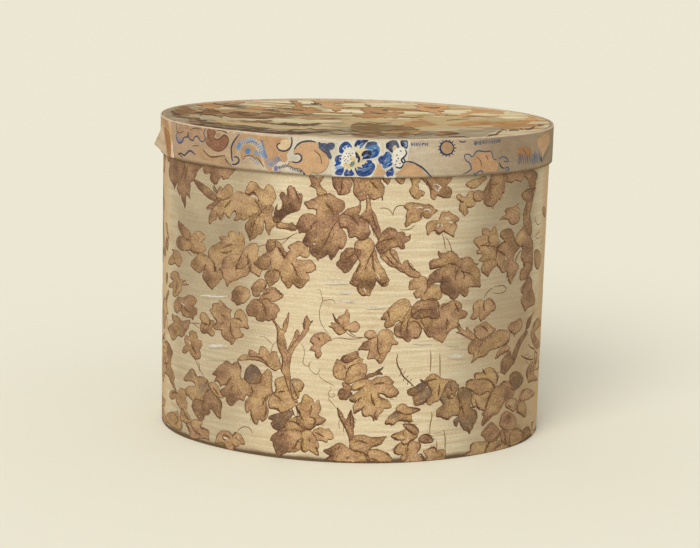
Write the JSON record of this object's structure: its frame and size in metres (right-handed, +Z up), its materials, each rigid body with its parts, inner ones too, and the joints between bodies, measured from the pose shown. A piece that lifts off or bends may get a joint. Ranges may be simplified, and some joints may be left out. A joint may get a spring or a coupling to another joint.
{
  "type": "oval box",
  "caption": "Large upright oval pasteboard bandbox with a deep-rimmed lift-off lid, covered and lined in paper, for storing hats and bonnets.",
  "frame": {"origin": "middle of the box's foot, at the height of the surface it stands on", "axes": "+X along the oval's length, to the right seen from the front; +Z up; -Y is the front"},
  "size_m": [0.4456, 0.3398, 0.352],
  "materials": {
    "pasteboard": "bare grey-brown pasteboard, matt",
    "leaf_paper": "brown vine leaves block-printed on a cream ground, matt",
    "border_paper": "blue, tan and orange block-printed border on a cream ground, matt",
    "lining_paper": "plain aged lining paper, matt",
    "linen_thread": "waxed linen thread"
  },
  "bodies": {
    "box": {"box_side_board": "pasteboard", "box_bottom_board": "pasteboard", "box_lap_thread": "linen_thread", "box_bottom_thread": "linen_thread", "box_side_paper": "leaf_paper", "box_side_lining": "lining_paper", "box_bottom_lining": "lining_paper"},
    "lid": {"lid_rim_board": "pasteboard", "lid_top_board": "pasteboard", "lid_lap_thread": "linen_thread", "lid_top_thread": "linen_thread", "lid_rim_paper": "border_paper", "lid_top_paper": "leaf_paper", "lid_rim_lining": "lining_paper", "lid_top_lining": "lining_paper"}
  },
  "joints": [
    {"name": "lid_lift", "type": "slide", "parent": "box", "child": "lid", "axis": [0, 0, 1], "range_m": [0, 0.15]}
  ]
}
